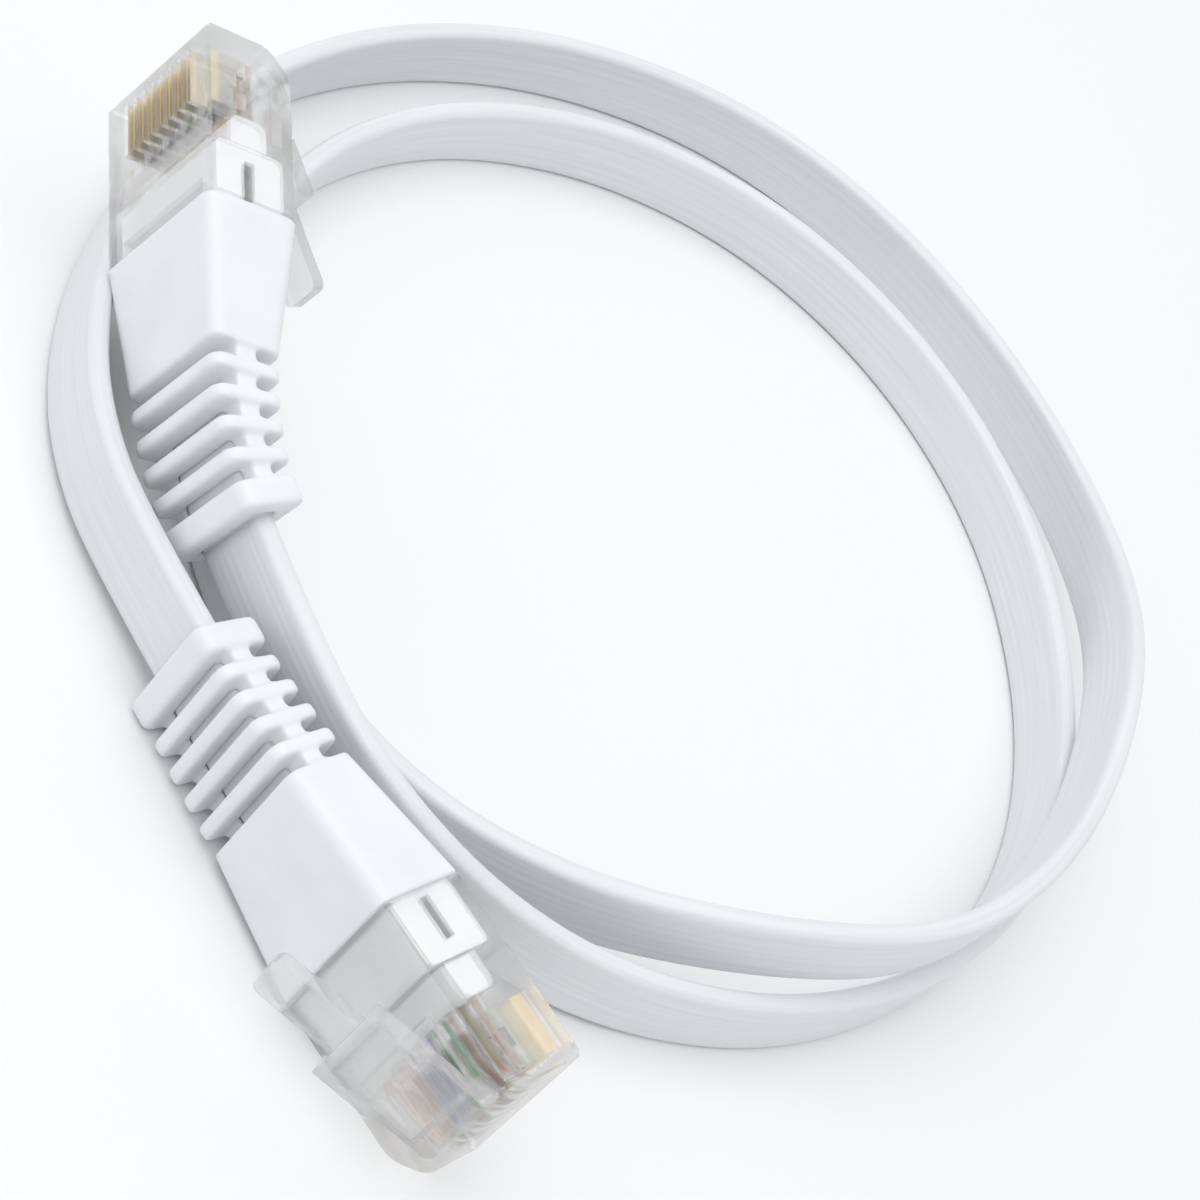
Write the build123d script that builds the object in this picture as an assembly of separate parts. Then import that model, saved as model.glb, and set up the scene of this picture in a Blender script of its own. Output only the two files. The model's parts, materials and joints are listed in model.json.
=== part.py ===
from build123d import *
import os
from math import cos, pi, radians, sin, tan

# Ethernet patch cable: a flat cable in two loose turns, standing on its edge, with an
# eight-contact modular plug and a ribbed boot on each end.  Millimetres, +Z up, floor at Z = 0.
#
# Each plug is drawn in a frame of its own: X points the way the plug is inserted, with the
# nose at X = 0, Y points to the contact side and Z runs along the width, from contact 1 up.

# ---- the plug's clear shell ----
PLUG_WIDTH = 11.68
PLUG_THICKNESS = 6.60
SHELL_LENGTH = 13.0
NOSE_FACE_LOW = -1.5      # the nose face ends here, above the latch's root
NOSE_SLOPE_LENGTH = 1.9   # the shell slopes back to its full thickness over this length
NOSE_ROUNDING = 2.0       # where the slope meets the nose face and the latch side
EDGE_BREAK = 0.4
HALF_THICK = PLUG_THICKNESS / 2

# ---- contacts and wires ----
CONTACTS = 8
CONTACT_PITCH = 1.016
BLADE_THICKNESS = 0.34
BLADE_FRONT, BLADE_BACK = -1.2, -5.1
BLADE_TOP = 2.9
BLADE_NOTCH = 1.3         # length of the gap between a blade's two teeth
BLADE_NOTCH_HEIGHT = 0.9
WIRE_RADIUS = 0.31
WIRE_FRONT = -1.4
WIRE_ROWS = (0.35, -0.60)  # the wires lie in two staggered rows
WIRE_COLOURS = ("white_orange", "orange", "white_green", "blue",
                "white_blue", "green", "white_brown", "brown")
SLOT_CLEARANCE = 0.04
CHANNEL_CLEARANCE = 0.07

# ---- pieces between the shell and the cable ----
GUIDE_FRONT, GUIDE_BACK = -6.1, -8.5
GUIDE_LOW, GUIDE_HIGH = -1.5, 1.2
GUIDE_WIDTH = 9.4
INSERT_FRONT = -8.6
INSERT_WIDTH, INSERT_THICKNESS = 10.3, 5.1
NECK_BACK = -19.5
NECK_WIDTH, NECK_THICKNESS = 9.2, 4.4
FAN_ROOM_BACK = -12.4     # the cable's jacket ends here and its wires spread out
FIT = 0.05                # gap between pieces that are pushed together

# ---- latch ----
HINGE_X, HINGE_Y = -1.2, -2.6
KNUCKLE_RADIUS = 0.9
LATCH_ANGLE = 22.0        # between the resting lever and the shell
LATCH_WIDTH = 6.4
LATCH_STEP = -3.8
LATCH_SHOULDER = -7.9
LATCH_THICKNESS, LATCH_THICK = 0.9, 1.35
LEVER_WIDTH = 3.2
LEVER_END = -13.9

# ---- boot ----
BOOT_FRONT = -13.05
BOOT_WAIST = -22.9        # the grooves start here
BOOT_FRONT_SIZE = (7.0, 12.0)
BOOT_WAIST_SIZE = (5.3, 9.8)
BOOT_TAIL_SIZE = (4.6, 8.5)
COLLAR_SIZE = (5.0, 9.0)
GROOVES = 5
GROOVE_LENGTH, RIB_LENGTH, COLLAR_LENGTH = 0.95, 1.0, 1.95
RIBBED_LENGTH = GROOVES * GROOVE_LENGTH + (GROOVES - 1) * RIB_LENGTH + COLLAR_LENGTH
SPINE_THICKNESS = 1.5

# ---- flat cable ----
CABLE_WIDTH, CABLE_THICKNESS = 6.0, 1.6
CABLE_EDGE_RADIUS = 0.6
WIRE_PITCH_IN_CABLE = 0.66

# ---- where the plugs lie: nose position, heading, how far the nose is raised, how far the
# plug leans over to its latch side, and the bend of its boot ----
PLUGS = {
    "left": {"nose": (-30.3, 19.0, 13.2), "heading": 136.8, "raise": 7.0, "lean": 3.0,
             "bend": 25.0},
    "right": {"nose": (31.9, -15.9, 7.4), "heading": -13.6, "raise": 5.0, "lean": 0.0,
              "bend": -6.0},
}

# ---- the free cable's route between its two straight ends ----
LEAD = 7.5                # straight run out of each boot
START_TWIST = -4.8        # so that the cable is as upright at one end as at the other
ROUTE = [
    (12.3, -6.0, 6.5), (23.1, -2.8, 4.1), (33.1, 3.5, 3.0), (41.9, 13.3, 3.0),
    (47.6, 26.0, 3.0), (49.8, 39.6, 3.0), (47.6, 53.8, 3.0), (40.7, 66.9, 3.0),
    (29.3, 77.7, 3.0), (14.6, 82.2, 3.0), (-0.5, 79.3, 3.0), (-12.7, 70.0, 3.0),
    (-21.0, 57.0, 3.0), (-24.7, 42.8, 3.0), (-24.0, 28.5, 3.0), (-19.1, 15.7, 3.0),
    (-10.0, 5.6, 3.0), (1.4, -0.8, 3.0), (14.2, -1.1, 3.0), (26.2, 4.0, 4.4),
    (37.4, 12.0, 8.4), (45.7, 23.5, 9.5), (48.6, 38.0, 9.5), (47.4, 52.8, 9.5),
    (42.6, 68.0, 9.3), (34.7, 82.0, 5.5), (21.3, 91.1, 3.3), (5.1, 92.0, 3.0),
    (-10.0, 85.5, 3.0), (-21.9, 72.4, 3.0), (-29.3, 56.2, 3.0), (-32.1, 39.2, 3.0),
    (-30.5, 24.0, 3.0), (-26.5, 12.6, 3.0), (-20.8, 3.6, 3.0), (-14.3, -2.1, 3.4),
]


def block(x_range, y_range, z_range):
    """A box between two values on each axis."""
    low, high = zip(x_range, y_range, z_range)
    size = [b - a for a, b in zip(low, high)]
    middle = [(a + b) / 2 for a, b in zip(low, high)]
    return Pos(*middle) * Box(*size)


def even(x_range, thickness, width):
    """A box centred on the plug's X axis."""
    return block(x_range, (-thickness / 2, thickness / 2), (-width / 2, width / 2))


def rod(x_range, y, z, radius):
    """A round rod along X."""
    length = x_range[1] - x_range[0]
    return Pos(sum(x_range) / 2, y, z) * Rot(0, 90, 0) * Cylinder(radius, length)


def contact_places():
    """Row height and width position of each contact, contact 1 first."""
    first = -(CONTACTS - 1) / 2
    return [(WIRE_ROWS[i % 2], (first + i) * CONTACT_PITCH) for i in range(CONTACTS)]


# ---------------------------------------------------------------- plug pieces
def blade(row, z, grow=0.0):
    """One gold contact; grow gives the slot that it stands in."""
    half = BLADE_THICKNESS / 2 + grow
    top = BLADE_TOP if grow == 0 else HALF_THICK
    ends = (BLADE_BACK - grow, BLADE_FRONT + grow)
    body = block(ends, (row - 0.05 - grow, top), (z - half, z + half))
    if grow:
        return body
    middle = (BLADE_FRONT + BLADE_BACK) / 2
    notch = (middle - BLADE_NOTCH / 2, middle + BLADE_NOTCH / 2)
    return body - block(notch, (row - 1, row + BLADE_NOTCH_HEIGHT), (z - 1, z + 1))


def plug_shell():
    """Clear shell with contact slots, wire channels, rear room and the latch's pocket."""
    outline = Polyline(
        (0, HALF_THICK - EDGE_BREAK), (-EDGE_BREAK, HALF_THICK),
        (-SHELL_LENGTH, HALF_THICK), (-SHELL_LENGTH, -HALF_THICK),
        (-NOSE_SLOPE_LENGTH, -HALF_THICK), (0, NOSE_FACE_LOW), close=True)
    profile = make_face(outline)
    slope_ends = [v for v in profile.vertices() if v.X > -NOSE_SLOPE_LENGTH - 1 and v.Y < 0]
    profile = fillet(slope_ends, NOSE_ROUNDING)
    shell = extrude(profile, amount=PLUG_WIDTH / 2, both=True)
    shell = chamfer(shell.faces().sort_by(Axis.Z)[0].edges(), 0.2)
    shell = chamfer(shell.faces().sort_by(Axis.Z)[-1].edges(), 0.2)
    for row, z in contact_places():
        shell -= blade(row, z, SLOT_CLEARANCE)
        channel = (GUIDE_BACK, WIRE_FRONT + CHANNEL_CLEARANCE)
        shell -= rod(channel, row, z, WIRE_RADIUS + CHANNEL_CLEARANCE)
    shell -= block((GUIDE_BACK - 1, GUIDE_FRONT + FIT), (GUIDE_LOW - FIT, GUIDE_HIGH + FIT),
                   (-GUIDE_WIDTH / 2 - FIT, GUIDE_WIDTH / 2 + FIT))
    shell -= even((-SHELL_LENGTH - 1, INSERT_FRONT + FIT),
                  INSERT_THICKNESS + 2 * FIT, INSERT_WIDTH + 2 * FIT)
    pocket_back, pocket_floor, side_gap = -6.6, -2.5, 0.15
    half = LATCH_WIDTH / 2 + side_gap
    shell -= block((pocket_back, HINGE_X), (-HALF_THICK - 1, pocket_floor), (-half, half))
    shell -= Pos(HINGE_X, HINGE_Y, 0) * Cylinder(KNUCKLE_RADIUS + 0.03, 2 * half)
    return shell


def latch():
    """Sprung lever: round root, wide locking part with its shoulders, narrow thumb end."""
    half = LATCH_WIDTH / 2
    lever_half = LEVER_WIDTH / 2
    arm = block((LATCH_SHOULDER, 0), (-LATCH_THICKNESS, 0), (-half, half))
    arm += block((LATCH_SHOULDER, LATCH_STEP), (-LATCH_THICK, 0), (-half, half))
    arm += block((LEVER_END, LATCH_SHOULDER), (-LATCH_THICKNESS, 0), (-lever_half, lever_half))
    corners = arm.edges().filter_by(Axis.Y).group_by(Axis.X)[0]
    arm = fillet(corners, 0.6)
    arm += Cylinder(KNUCKLE_RADIUS, LATCH_WIDTH)
    return Pos(HINGE_X, HINGE_Y, 0) * Rot(0, 0, LATCH_ANGLE) * arm


def wire_path(number):
    """One wire: out of the flat cable, spread to its contact's place and on to the nose."""
    row, z = contact_places()[number]
    start_z = (number - (CONTACTS - 1) / 2) * WIRE_PITCH_IN_CABLE
    points = [(FAN_ROOM_BACK + 0.05, 0, start_z), (-11.4, 0, start_z),
              (-9.3, row, z), (WIRE_FRONT, row, z)]
    return FilletPolyline(*points, radius=0.8)


def wire(number):
    """The insulated wire, with the cuts that its contact's teeth make in it."""
    path = wire_path(number)
    section = Plane(origin=path @ 0, z_dir=path % 0) * Circle(WIRE_RADIUS)
    row, z = contact_places()[number]
    return sweep(section, path=path) - blade(row, z)


def wire_guide():
    """White comb that holds the eight wires in their two rows behind the contacts."""
    guide = block((GUIDE_BACK, GUIDE_FRONT), (GUIDE_LOW, GUIDE_HIGH),
                  (-GUIDE_WIDTH / 2, GUIDE_WIDTH / 2))
    guide = fillet(guide.edges().filter_by(Axis.Z).group_by(Axis.X)[-1], 0.7)
    for row, z in contact_places():
        guide -= rod((GUIDE_BACK - 1, GUIDE_FRONT + 1), row, z, WIRE_RADIUS + 0.04)
    return guide


def cable_insert():
    """White insert that packs the shell's rear out to the flat cable, with a neck behind."""
    insert = even((-SHELL_LENGTH, INSERT_FRONT), INSERT_THICKNESS, INSERT_WIDTH)
    insert = fillet(insert.edges().filter_by(Axis.Z), 0.5)
    insert += even((NECK_BACK, -SHELL_LENGTH + 0.5), NECK_THICKNESS, NECK_WIDTH)
    insert -= even((FAN_ROOM_BACK, 0), 2.4, GUIDE_WIDTH)
    insert -= even((NECK_BACK - 1, FAN_ROOM_BACK), CABLE_THICKNESS + FIT, CABLE_WIDTH + FIT)
    window_depth = 1.0
    insert -= block((-12.9, -11.4), (INSERT_THICKNESS / 2 - window_depth, INSERT_THICKNESS),
                    (-4.5, 4.5))
    for side in (-1, 1):
        edge = side * INSERT_WIDTH / 2
        depth = sorted((edge, edge - side * 1.1))
        insert -= block((-12.6, -9.7), (-0.35, 0.45), depth)
    return insert


# ---------------------------------------------------------------- boot and cable ends
def along_boot(distance, bend):
    """Place on the boot's middle line, this far behind its waist."""
    angle = bend * distance / RIBBED_LENGTH
    radius = RIBBED_LENGTH / radians(bend)
    back = radius * sin(radians(angle))
    side = radius * (1 - cos(radians(angle)))
    return Pos(BOOT_WAIST - back, -side, 0) * Rot(0, 0, angle)


def boot_line(start_x, bend):
    """The middle line from start_x back to the end of the boot's collar."""
    waist = (BOOT_WAIST, 0, 0)
    straight = Line((start_x, 0, 0), waist)
    end = along_boot(RIBBED_LENGTH, bend).position
    return straight + TangentArc(waist, end, tangent=(-1, 0, 0))


def ribbon(path, grow=0.0, twist=0.0):
    """The flat cable's section, standing on edge, carried along a path."""
    width, thickness = CABLE_WIDTH + grow, CABLE_THICKNESS + grow
    start, heading = path @ 0, path % 0
    upright = Vector(0, 0, 1)
    across = upright.cross(heading).normalized()
    plane = Plane(origin=start, x_dir=across, z_dir=heading).rotated((0, 0, twist))
    section = plane * RectangleRounded(thickness, width, CABLE_EDGE_RADIUS)
    return sweep(section, path=path)


def ring(size, length, rounding):
    """A rounded block of the boot, centred on its X axis."""
    thickness, width = size
    sketch = Plane.YZ * RectangleRounded(thickness, width, 0.9)
    return fillet(extrude(sketch, amount=length / 2, both=True).edges(), rounding)


def mix(a, b, t):
    return tuple(p + (q - p) * t for p, q in zip(a, b))


def boot(bend):
    """Soft boot: a tapered sleeve, then ribs and a collar joined by two narrow spines."""
    front = Plane.YZ.offset(BOOT_FRONT) * RectangleRounded(*BOOT_FRONT_SIZE, 0.9)
    waist = Plane.YZ.offset(BOOT_WAIST) * RectangleRounded(*BOOT_WAIST_SIZE, 0.9)
    body = loft([waist, front])
    step = GROOVE_LENGTH + RIB_LENGTH
    for i in range(GROOVES):
        groove_start = i * step
        t = (groove_start + GROOVE_LENGTH / 2) / RIBBED_LENGTH
        thickness, width = mix(BOOT_WAIST_SIZE, BOOT_TAIL_SIZE, t)
        overlap = 0.4
        place = along_boot(groove_start + GROOVE_LENGTH / 2, bend)
        body += place * even((-GROOVE_LENGTH / 2 - overlap, GROOVE_LENGTH / 2 + overlap),
                             SPINE_THICKNESS, width - 0.5)
        last = i == GROOVES - 1
        length = COLLAR_LENGTH if last else RIB_LENGTH
        size = COLLAR_SIZE if last else (thickness, width)
        rounding = 0.4 if last else 0.25
        body += along_boot(groove_start + GROOVE_LENGTH + length / 2, bend) * ring(
            size, length, rounding)
    body -= even((NECK_BACK - FIT, 0), NECK_THICKNESS + 2 * FIT, NECK_WIDTH + 2 * FIT)
    passage = ribbon(boot_line(NECK_BACK + 1, bend), 2 * FIT)
    tail = along_boot(RIBBED_LENGTH, bend) * even((-1, 0.1), CABLE_THICKNESS, CABLE_WIDTH)
    return body - passage - tail


def cable_end(bend):
    """The cable's jacket from its cut end inside the plug to the end of the boot."""
    return ribbon(boot_line(FAN_ROOM_BACK, bend))


# ---------------------------------------------------------------- assembly
def plug_place(plug):
    heading, lift, lean = plug["heading"], plug["raise"], plug["lean"]
    return Pos(*plug["nose"]) * Rot(0, 0, heading) * Rot(0, -lift, 0) * Rot(lean, 0, 0)


def build_plug(side, plug):
    """Every piece of one plug and boot, in its place."""
    place = plug_place(plug)
    contacts = Part() + [blade(row, z) for row, z in contact_places()]
    pieces = {
        "plug_shell": plug_shell(),
        "latch": latch(),
        "contacts": contacts,
        "wire_guide": wire_guide(),
        "cable_insert": cable_insert(),
        "boot": boot(plug["bend"]),
        "cable_end": cable_end(plug["bend"]),
    }
    for number, colour in enumerate(WIRE_COLOURS):
        pieces["wire_" + colour] = wire(number)
    return {side + "_" + name: place * piece for name, piece in pieces.items()}


def cable_exit(plug):
    """Where the cable leaves the boot, and the direction in which it does."""
    place = plug_place(plug) * along_boot(RIBBED_LENGTH, plug["bend"])
    return place.position, (place * Pos(-1, 0, 0)).position - place.position


def full_route():
    """The route's points from one boot's collar to the other's."""
    start, out = cable_exit(PLUGS["left"])
    end, back = cable_exit(PLUGS["right"])
    middle = [Vector(*point) for point in ROUTE]
    return [start, start + out * LEAD] + middle + [end + back * LEAD, end]


def turn_radii(points):
    """Each corner's radius, from its shorter run and half its turn."""
    radii = []
    for before, here, after in zip(points, points[1:], points[2:]):
        into, out = here - before, after - here
        shorter = min(into.length, out.length)
        half_turn = radians(into.get_angle(out)) / 2
        radii.append(0.45 * shorter / tan(half_turn))
    return radii


def flat_cable():
    points = full_route()
    radii = turn_radii(points)
    path = FilletPolyline(*points, radius=radii)
    cable = ribbon(path, twist=START_TWIST)
    corner_loss = (4 - pi) * CABLE_EDGE_RADIUS ** 2
    section = CABLE_WIDTH * CABLE_THICKNESS - corner_loss
    print("route", [tuple(round(v, 1) for v in point) for point in points])
    print("radii", [round(radius, 1) for radius in radii])
    print("runs", [round((b - a).length, 1) for a, b in zip(points, points[1:])])
    print("length", round(path.length, 1), "section x length", round(section * path.length, 1),
          "volume", round(cable.volume, 1))
    return cable


def main():
    os.makedirs("parts", exist_ok=True)
    nodes = {"flat_cable": flat_cable()}
    for side, plug in PLUGS.items():
        nodes.update(build_plug(side, plug))
        place = plug_place(plug)
        hinge = place * Pos(HINGE_X, HINGE_Y, 0)
        axis = (hinge * Pos(0, 0, -1)).position - hinge.position
        print(side, "hinge", hinge.position, "axis", axis)
    for name, piece in nodes.items():
        export_step(piece, f"parts/{name}.step")
    plugs = [piece for name, piece in nodes.items() if name != "flat_cable"]
    box = Compound(children=[Compound(piece.wrapped) for piece in plugs]).bounding_box()
    print("plugs' box", box.min, box.max)


main()
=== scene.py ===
"""Looks of the ethernet patch cable: its flat cable, and the finish of every moulded piece."""
import json
from math import cos, pi, radians, sin

import bmesh
import bpy
from mathutils import Matrix, Vector


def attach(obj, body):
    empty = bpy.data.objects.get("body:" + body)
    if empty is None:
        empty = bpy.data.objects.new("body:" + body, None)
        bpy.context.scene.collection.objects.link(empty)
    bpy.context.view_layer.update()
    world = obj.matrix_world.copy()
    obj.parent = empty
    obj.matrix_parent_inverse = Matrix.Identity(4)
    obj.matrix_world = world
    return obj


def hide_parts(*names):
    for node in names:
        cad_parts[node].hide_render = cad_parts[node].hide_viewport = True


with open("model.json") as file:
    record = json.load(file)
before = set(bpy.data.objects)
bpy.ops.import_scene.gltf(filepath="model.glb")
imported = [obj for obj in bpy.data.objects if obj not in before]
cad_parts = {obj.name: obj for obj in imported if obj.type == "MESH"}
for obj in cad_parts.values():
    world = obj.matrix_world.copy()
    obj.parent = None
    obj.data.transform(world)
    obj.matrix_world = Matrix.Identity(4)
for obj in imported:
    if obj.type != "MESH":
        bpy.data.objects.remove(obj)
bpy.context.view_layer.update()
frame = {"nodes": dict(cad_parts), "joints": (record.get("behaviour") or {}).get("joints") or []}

MM = 0.001
BODY = "cable_assembly"
SIDES = ("left", "right")

# ---- flat cable ----
CABLE_WIDTH, CABLE_THICKNESS = 6.0 * MM, 1.6 * MM
EDGE_RADIUS = 0.6 * MM
CONDUCTORS = 8
GROOVE_DEPTH = 0.018 * MM    # between one conductor's ridge and the next
RIDGE_STEPS = 4              # mesh faces across each ridge
CORNER_STEPS = 5             # mesh faces round each corner of the section
ROUTE_STEPS = 14             # mesh rings along each span of the route
SETTLE = 20 * MM             # the cable turns upright over this length from each boot

# ---- soft boots ----
BOOT_GRAIN = 0.15 * MM       # size of the boots' mesh faces
BOOT_SMOOTHING = 7           # rounds of smoothing, which set how rounded the edges are

# ---- plugs: each one's nose, in millimetres, and its heading, raise and lean in degrees ----
PLUGS = {
    "left": ((-30.3, 19.0, 13.2), (136.8, 7.0, 3.0)),
    "right": ((31.9, -15.9, 7.4), (-13.6, 5.0, 0.0)),
}
GOLD_FROM, GOLD_FULL = 1.6 * MM, 1.9 * MM    # from the plug's middle to its contact side

# ---- the cable's route, in millimetres ----
ROUTE = [
    (-4.7, -1.9, 9.0), (2.4, -4.2, 8.0), (12.3, -6.0, 6.5), (23.1, -2.8, 4.1),
    (33.1, 3.5, 3.0), (41.9, 13.3, 3.0), (47.6, 26.0, 3.0), (49.8, 39.6, 3.0),
    (47.6, 53.8, 3.0), (40.7, 66.9, 3.0), (29.3, 77.7, 3.0), (14.6, 82.2, 3.0),
    (-0.5, 79.3, 3.0), (-12.7, 70.0, 3.0), (-21.0, 57.0, 3.0), (-24.7, 42.8, 3.0),
    (-24.0, 28.5, 3.0), (-19.1, 15.7, 3.0), (-10.0, 5.6, 3.0), (1.4, -0.8, 3.0),
    (14.2, -1.1, 3.0), (26.2, 4.0, 4.4), (37.4, 12.0, 8.4), (45.7, 23.5, 9.5),
    (48.6, 38.0, 9.5), (47.4, 52.8, 9.5), (42.6, 68.0, 9.3), (34.7, 82.0, 5.5),
    (21.3, 91.1, 3.3), (5.1, 92.0, 3.0), (-10.0, 85.5, 3.0), (-21.9, 72.4, 3.0),
    (-29.3, 56.2, 3.0), (-32.1, 39.2, 3.0), (-30.5, 24.0, 3.0), (-26.5, 12.6, 3.0),
    (-20.8, 3.6, 3.0), (-14.3, -2.1, 3.4), (-7.5, -5.0, 3.8), (-0.5, -7.5, 4.5),
]


# ---------------------------------------------------------------- camera
def make_camera():
    """A close, fairly long lens, looking down at the loop with the picture turned."""
    data = bpy.data.cameras.new("camera")
    data.sensor_width = 36.0
    data.lens = 91.5
    elevation, roll = radians(38.0), radians(49.7)
    target, distance = Vector((0.0128, 0.0329, 0.0)), 0.220
    level = Vector((1, 0, 0))
    rise = Vector((0, sin(elevation), cos(elevation)))
    back = level.cross(rise)
    right = level * cos(roll) + rise * sin(roll)
    up = rise * cos(roll) - level * sin(roll)
    camera = bpy.data.objects.new("camera", data)
    bpy.context.scene.collection.objects.link(camera)
    turn = Matrix((right, up, back)).transposed().to_4x4()
    camera.matrix_world = Matrix.Translation(target + back * distance) @ turn
    bpy.context.scene.camera = camera


# ---------------------------------------------------------------- flat cable
def route_line():
    """Points along a smooth spline that has the route's points as its control points."""
    curve = bpy.data.curves.new("route", "CURVE")
    curve.dimensions = "3D"
    curve.resolution_u = ROUTE_STEPS
    spline = curve.splines.new("NURBS")
    spline.points.add(len(ROUTE) - 1)
    for place, point in zip(ROUTE, spline.points):
        point.co = (*(Vector(place) * MM), 1.0)
    spline.order_u = 3
    spline.use_endpoint_u = True
    carrier = bpy.data.objects.new("route", curve)
    bpy.context.scene.collection.objects.link(carrier)
    bpy.context.view_layer.update()
    mesh = bpy.data.meshes.new_from_object(carrier)
    line = [vertex.co.copy() for vertex in mesh.vertices]
    bpy.data.objects.remove(carrier)
    bpy.data.meshes.remove(mesh)
    return line


def cable_section():
    """Points round the flat cable's section as (through its thickness, across its width)."""
    half_thick = CABLE_THICKNESS / 2
    flat = CABLE_WIDTH / 2 - EDGE_RADIUS
    stretch = half_thick - EDGE_RADIUS
    face_steps = CONDUCTORS * RIDGE_STEPS
    side = []
    for i in range(face_steps + 1):
        across = flat * (2 * i / face_steps - 1)
        valley = 0.5 + 0.5 * cos(2 * pi * CONDUCTORS * i / face_steps)
        side.append((half_thick - GROOVE_DEPTH * valley, across))
    near_corner = range(1, CORNER_STEPS + 1)
    far_corner = range(CORNER_STEPS, 2 * CORNER_STEPS)
    for steps, middle in ((near_corner, stretch), (far_corner, -stretch)):
        for i in steps:
            angle = pi * i / (2 * CORNER_STEPS)
            side.append((middle + EDGE_RADIUS * cos(angle), flat + EDGE_RADIUS * sin(angle)))
    return side + [(-through, -across) for through, across in side]


def smooth(t):
    """Rises gently from 0 to 1 as t does."""
    return t * t * (3 - 2 * t)


def width_directions(distances):
    """The cable's width direction at each point: the plugs' own at its ends, else upright."""
    width_axes = {joint["name"]: -Vector(joint["axis"]) for joint in frame["joints"]}
    first, last = width_axes["left_latch_press"], width_axes["right_latch_press"]
    ups = []
    for distance in distances:
        up = Vector((0, 0, 1))
        near_start = max(0.0, 1 - distance / SETTLE)
        near_end = max(0.0, 1 - (distances[-1] - distance) / SETTLE)
        up += (first - up) * smooth(near_start) + (last - up) * smooth(near_end)
        ups.append(up)
    return ups


def make_cable():
    """The flat cable on its edge, a closed ribbon with a ridge over each conductor."""
    line = route_line()
    distances = [0.0]
    for a, b in zip(line, line[1:]):
        distances.append(distances[-1] + (b - a).length)
    section = cable_section()
    around = [0.0]
    for a, b in zip(section, section[1:] + section[:1]):
        around.append(around[-1] + (Vector(b) - Vector(a)).length)
    count = len(section)
    verts, faces, uvs = [], [], []
    for i, (here, up) in enumerate(zip(line, width_directions(distances))):
        tangent = (line[min(i + 1, len(line) - 1)] - line[max(i - 1, 0)]).normalized()
        up = (up - tangent * up.dot(tangent)).normalized()
        side = up.cross(tangent)
        verts += [here + side * through + up * across for through, across in section]
    for i in range(len(line) - 1):
        for j in range(count):
            k = (j + 1) % count
            low, high = i * count, (i + 1) * count
            faces.append((low + j, high + j, high + k, low + k))
            uvs += [(distances[i], around[j]), (distances[i + 1], around[j]),
                    (distances[i + 1], around[j + 1]), (distances[i], around[j + 1])]
    last = (len(line) - 1) * count
    caps = [list(range(count)), list(range(last + count - 1, last - 1, -1))]
    for cap in caps:
        uvs += [(0.0, around[v % count]) for v in cap]
    mesh = bpy.data.meshes.new("cable_ribbon")
    mesh.from_pydata(verts, [], faces + caps)
    layer = mesh.uv_layers.new(name="along_and_around")
    layer.data.foreach_set("uv", [value for uv in uvs for value in uv])
    mesh.polygons.foreach_set("use_smooth", [True] * len(faces) + [False, False])
    cable = bpy.data.objects.new("cable_ribbon", mesh)
    bpy.context.scene.collection.objects.link(cable)
    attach(cable, BODY)
    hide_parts("flat_cable")
    print("cable length", distances[-1])
    return cable


# ---------------------------------------------------------------- boots
def plug_turn(side):
    """The turn that takes the plug's own axes to the frame's."""
    heading, lift, lean = (radians(angle) for angle in PLUGS[side][1])
    return (Matrix.Rotation(heading, 4, "Z") @ Matrix.Rotation(-lift, 4, "Y")
            @ Matrix.Rotation(lean, 4, "X"))


def soft_boot(side):
    """The boot's own shape with the rounded edges and hollows of soft moulded vinyl."""
    shape = bmesh.new()
    shape.from_mesh(frame["nodes"][f"{side}_boot"].data)
    bmesh.ops.remove_doubles(shape, verts=shape.verts, dist=0.001 * MM)
    shape.transform(plug_turn(side).inverted())
    rough = bpy.data.meshes.new("boot_shape")
    shape.to_mesh(rough)
    shape.free()
    carrier = bpy.data.objects.new("boot_shape", rough)
    bpy.context.scene.collection.objects.link(carrier)
    even = carrier.modifiers.new("even", "REMESH")
    even.mode = "VOXEL"
    even.voxel_size = BOOT_GRAIN
    rounding = carrier.modifiers.new("rounding", "SMOOTH")
    rounding.factor, rounding.iterations = 0.5, BOOT_SMOOTHING
    made = carrier.evaluated_get(bpy.context.evaluated_depsgraph_get())
    mesh = bpy.data.meshes.new_from_object(made)
    mesh.transform(plug_turn(side))
    mesh.name = f"{side}_soft_boot"
    mesh.materials.clear()
    mesh.polygons.foreach_set("use_smooth", [True] * len(mesh.polygons))
    bpy.data.objects.remove(carrier)
    boot = bpy.data.objects.new(f"{side}_soft_boot", mesh)
    bpy.context.scene.collection.objects.link(boot)
    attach(boot, BODY)
    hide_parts(f"{side}_boot")
    return boot


# ---------------------------------------------------------------- materials
NOISE_LOW, NOISE_HIGH = 0.3, 0.7    # most of a noise texture's values lie between these
STREAKS_ALONG, STREAKS_ACROSS = 60, 2600    # features to the metre


def add(tree, kind, inputs=None, **settings):
    """A node with its settings, and its inputs as values or as links from other nodes."""
    node = tree.nodes.new(kind)
    for name, value in settings.items():
        setattr(node, name, value)
    for name, value in (inputs or {}).items():
        if isinstance(value, bpy.types.NodeSocket):
            tree.links.new(value, node.inputs[name])
        else:
            node.inputs[name].default_value = value
    return node


def start_material(name, **values):
    """A new material and its shader, with the shader's own sockets set."""
    material = bpy.data.materials.new(name)
    material.use_nodes = True
    shader = material.node_tree.nodes["Principled BSDF"]
    for socket, value in values.items():
        shader.inputs[socket.replace("_", " ")].default_value = value
    return material, material.node_tree, shader


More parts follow.
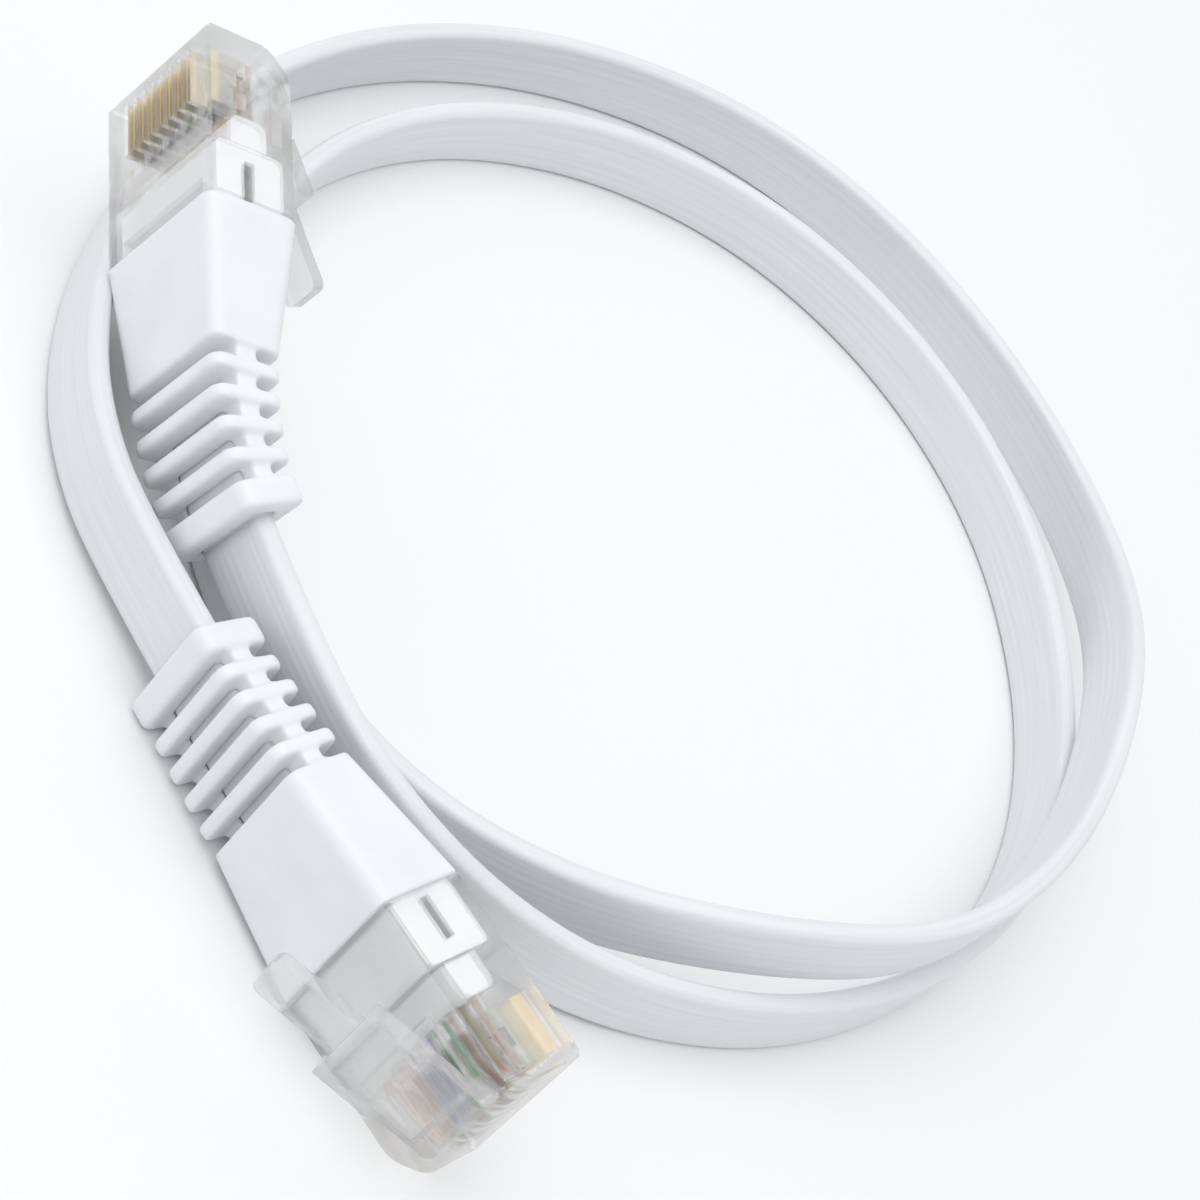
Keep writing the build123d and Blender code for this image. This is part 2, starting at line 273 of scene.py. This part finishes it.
def object_noise(tree, scale, detail=3.0):
    """Noise fixed to the piece, with about this many features to the metre."""
    place = add(tree, "ShaderNodeTexCoord").outputs["Object"]
    return add(tree, "ShaderNodeTexNoise", {
        "Vector": place, "Scale": scale, "Detail": detail}).outputs["Fac"]


def between(tree, factor, low, high):
    """A value that follows the noise from low to high."""
    return add(tree, "ShaderNodeMapRange", {
        "Value": factor, "From Min": NOISE_LOW, "From Max": NOISE_HIGH,
        "To Min": low, "To Max": high}).outputs["Result"]


def tint(tree, factor, dark, light):
    """A colour that follows the noise from dark to light."""
    ramp = add(tree, "ShaderNodeValToRGB", {"Fac": factor})
    ramp.color_ramp.elements[0].position = NOISE_LOW
    ramp.color_ramp.elements[1].position = NOISE_HIGH
    ramp.color_ramp.elements[0].color = (*dark, 1)
    ramp.color_ramp.elements[1].color = (*light, 1)
    return ramp.outputs["Color"]


def bump(tree, height, strength, distance):
    """A normal that follows the height, up to the distance."""
    return add(tree, "ShaderNodeBump", {
        "Height": height, "Strength": strength, "Distance": distance}).outputs["Normal"]


def moulded_white(name, dark, light, rough):
    """Soft white moulding: faint cloudiness, satin skin with a fine spark-eroded grain."""
    material, tree, shader = start_material(
        name, Subsurface_Weight=0.12, Subsurface_Scale=0.0015, IOR=1.5)
    shader.inputs["Subsurface Radius"].default_value = (1.0, 0.9, 0.8)
    cloud = object_noise(tree, 260.0)
    grain = object_noise(tree, 5200.0, 2.0)
    links = tree.links
    links.new(tint(tree, cloud, dark, light), shader.inputs["Base Color"])
    links.new(between(tree, object_noise(tree, 900.0), rough - 0.06, rough + 0.06),
              shader.inputs["Roughness"])
    links.new(bump(tree, grain, 0.35, 0.02 * MM), shader.inputs["Normal"])
    return material


def jacket_material():
    """Extruded vinyl: streaks that run along the cable, and a satin skin."""
    material, tree, shader = start_material(
        "jacket_vinyl", Subsurface_Weight=0.1, Subsurface_Scale=0.001, IOR=1.5)
    place = add(tree, "ShaderNodeUVMap", uv_map="along_and_around").outputs["UV"]
    stretched = add(tree, "ShaderNodeMapping", {
        "Vector": place, "Scale": (STREAKS_ALONG, STREAKS_ACROSS, 1)})
    streak = add(tree, "ShaderNodeTexNoise", {
        "Vector": stretched.outputs["Vector"], "Scale": 1.0, "Detail": 3.0}).outputs["Fac"]
    links = tree.links
    links.new(tint(tree, streak, (0.74, 0.75, 0.77), (0.81, 0.815, 0.83)),
              shader.inputs["Base Color"])
    links.new(between(tree, streak, 0.34, 0.50), shader.inputs["Roughness"])
    links.new(bump(tree, streak, 0.4, 0.012 * MM), shader.inputs["Normal"])
    return material


def clear_material():
    """Clear polycarbonate, faintly wavy, that lets lamps light what is inside it."""
    material, tree, shader = start_material(
        "clear_polycarbonate", Transmission_Weight=0.9, IOR=1.45, Alpha=0.52)
    links = tree.links
    links.new(tint(tree, object_noise(tree, 300.0), (0.97, 0.97, 0.965), (0.995, 0.995, 0.99)),
              shader.inputs["Base Color"])
    links.new(between(tree, object_noise(tree, 700.0), 0.03, 0.10), shader.inputs["Roughness"])
    links.new(bump(tree, object_noise(tree, 500.0, 1.0), 0.15, 0.03 * MM),
              shader.inputs["Normal"])
    open_to_lamps = add(tree, "ShaderNodeBsdfTransparent", {"Color": (0.96, 0.97, 0.97, 1)})
    rays = add(tree, "ShaderNodeLightPath")
    both = tree.nodes.new("ShaderNodeMixShader")
    links.new(rays.outputs["Is Shadow Ray"], both.inputs[0])
    links.new(shader.outputs[0], both.inputs[1])
    links.new(open_to_lamps.outputs[0], both.inputs[2])
    links.new(both.outputs[0], tree.nodes["Material Output"].inputs["Surface"])
    return material


def contact_material(side):
    """Gold plate on the contacts' outer edges, and nickel plate further in."""
    material, tree, shader = start_material(side + "_contact_plate", Metallic=0.9)
    outward = plug_turn(side).to_3x3() @ Vector((0, 1, 0))
    middle = (Vector(PLUGS[side][0]) * MM).dot(outward)
    place = add(tree, "ShaderNodeTexCoord").outputs["Object"]
    height = add(tree, "ShaderNodeVectorMath", {0: place, 1: outward}, operation="DOT_PRODUCT")
    gilt = add(tree, "ShaderNodeMapRange", {
        "Value": height.outputs["Value"], "From Min": middle + GOLD_FROM,
        "From Max": middle + GOLD_FULL}).outputs["Result"]
    fine = object_noise(tree, 900.0)
    gold = tint(tree, fine, (0.80, 0.60, 0.27), (0.90, 0.73, 0.40))
    nickel = tint(tree, fine, (0.42, 0.40, 0.35), (0.54, 0.52, 0.46))
    plate = add(tree, "ShaderNodeMixRGB", {"Fac": gilt, "Color1": nickel, "Color2": gold})
    links = tree.links
    links.new(plate.outputs["Color"], shader.inputs["Base Color"])
    links.new(between(tree, fine, 0.32, 0.48), shader.inputs["Roughness"])
    links.new(bump(tree, object_noise(tree, 6000.0), 0.3, 0.01 * MM), shader.inputs["Normal"])
    return material


def wire_material(name, colour):
    """Smooth insulation, a little uneven in its colour."""
    material, tree, shader = start_material("insulation_" + name, IOR=1.5)
    shade = tuple(channel * 0.82 for channel in colour)
    links = tree.links
    links.new(tint(tree, object_noise(tree, 1500.0), shade, colour), shader.inputs["Base Color"])
    links.new(between(tree, object_noise(tree, 3000.0), 0.3, 0.45), shader.inputs["Roughness"])
    links.new(bump(tree, object_noise(tree, 4000.0), 0.2, 0.01 * MM), shader.inputs["Normal"])
    return material


WIRE_COLOURS = {
    "white_orange": (0.92, 0.84, 0.76), "orange": (0.82, 0.38, 0.14),
    "white_green": (0.84, 0.90, 0.84), "blue": (0.10, 0.16, 0.46),
    "white_blue": (0.80, 0.83, 0.92), "green": (0.05, 0.34, 0.13),
    "white_brown": (0.88, 0.83, 0.78), "brown": (0.30, 0.16, 0.10),
}


def dress(node, material):
    """Gives a carried-over piece its finish in all its material slots."""
    mesh = frame["nodes"][node].data
    for i in range(len(mesh.materials)):
        mesh.materials[i] = material


def dress_all(cable, boots):
    """Gives every piece of the object its finish."""
    cable.data.materials.append(jacket_material())
    boot = moulded_white("boot_vinyl", (0.80, 0.81, 0.83), (0.84, 0.85, 0.87), 0.45)
    for piece in boots:
        piece.data.materials.append(boot)
    insert = moulded_white("insert_plastic", (0.84, 0.85, 0.86), (0.89, 0.90, 0.91), 0.38)
    clear = clear_material()
    finishes = {"plug_shell": clear, "latch": clear, "boot": boot,
                "wire_guide": insert, "cable_insert": insert, "cable_end": boot}
    for colour, rgb in WIRE_COLOURS.items():
        finishes["wire_" + colour] = wire_material(colour, rgb)
    for side in SIDES:
        dress(f"{side}_contacts", contact_material(side))
        for piece, material in finishes.items():
            dress(f"{side}_{piece}", material)


# ---------------------------------------------------------------- floor and light
LOOP_MIDDLE = Vector((0.01, 0.03, 0.0))


def make_floor():
    """A plain pale floor under the cable."""
    mesh = bpy.data.meshes.new("floor")
    reach = 3.0
    mesh.from_pydata([(-reach, -reach, 0), (reach, -reach, 0), (reach, reach, 0),
                      (-reach, reach, 0)], [], [(0, 1, 2, 3)])
    floor = bpy.data.objects.new("floor", mesh)
    bpy.context.scene.collection.objects.link(floor)
    material, tree, shader = start_material("floor_paper", Roughness=0.9)
    tree.links.new(tint(tree, object_noise(tree, 3.0), (0.87, 0.87, 0.87), (0.89, 0.89, 0.89)),
                   shader.inputs["Base Color"])
    mesh.materials.append(material)


def area_light(name, place, size, power):
    """A round lamp, as wide as size, aimed at the middle of the loop."""
    data = bpy.data.lights.new(name, "AREA")
    data.shape = "DISK"
    data.size = size
    data.energy = power
    light = bpy.data.objects.new(name, data)
    light.location = place
    direction = LOOP_MIDDLE - Vector(place)
    light.rotation_euler = direction.to_track_quat("-Z", "Y").to_euler()
    bpy.context.scene.collection.objects.link(light)


def make_light():
    """Soft studio light from above, a little from the left, and a pale surround."""
    area_light("overhead", (-0.12, -0.08, 0.95), 1.2, 5.1)
    area_light("side", (-0.8, -0.1, 0.55), 0.6, 0.6)
    world = bpy.data.worlds.new("studio")
    world.use_nodes = True
    sky = world.node_tree.nodes["Background"]
    sky.inputs["Color"].default_value = (0.96, 0.975, 1.0, 1)
    sky.inputs["Strength"].default_value = 0.70
    bpy.context.scene.world = world
    bpy.context.scene.view_settings.view_transform = "Standard"


make_camera()
cable = make_cable()
dress_all(cable, [soft_boot(side) for side in SIDES])
make_floor()
make_light()
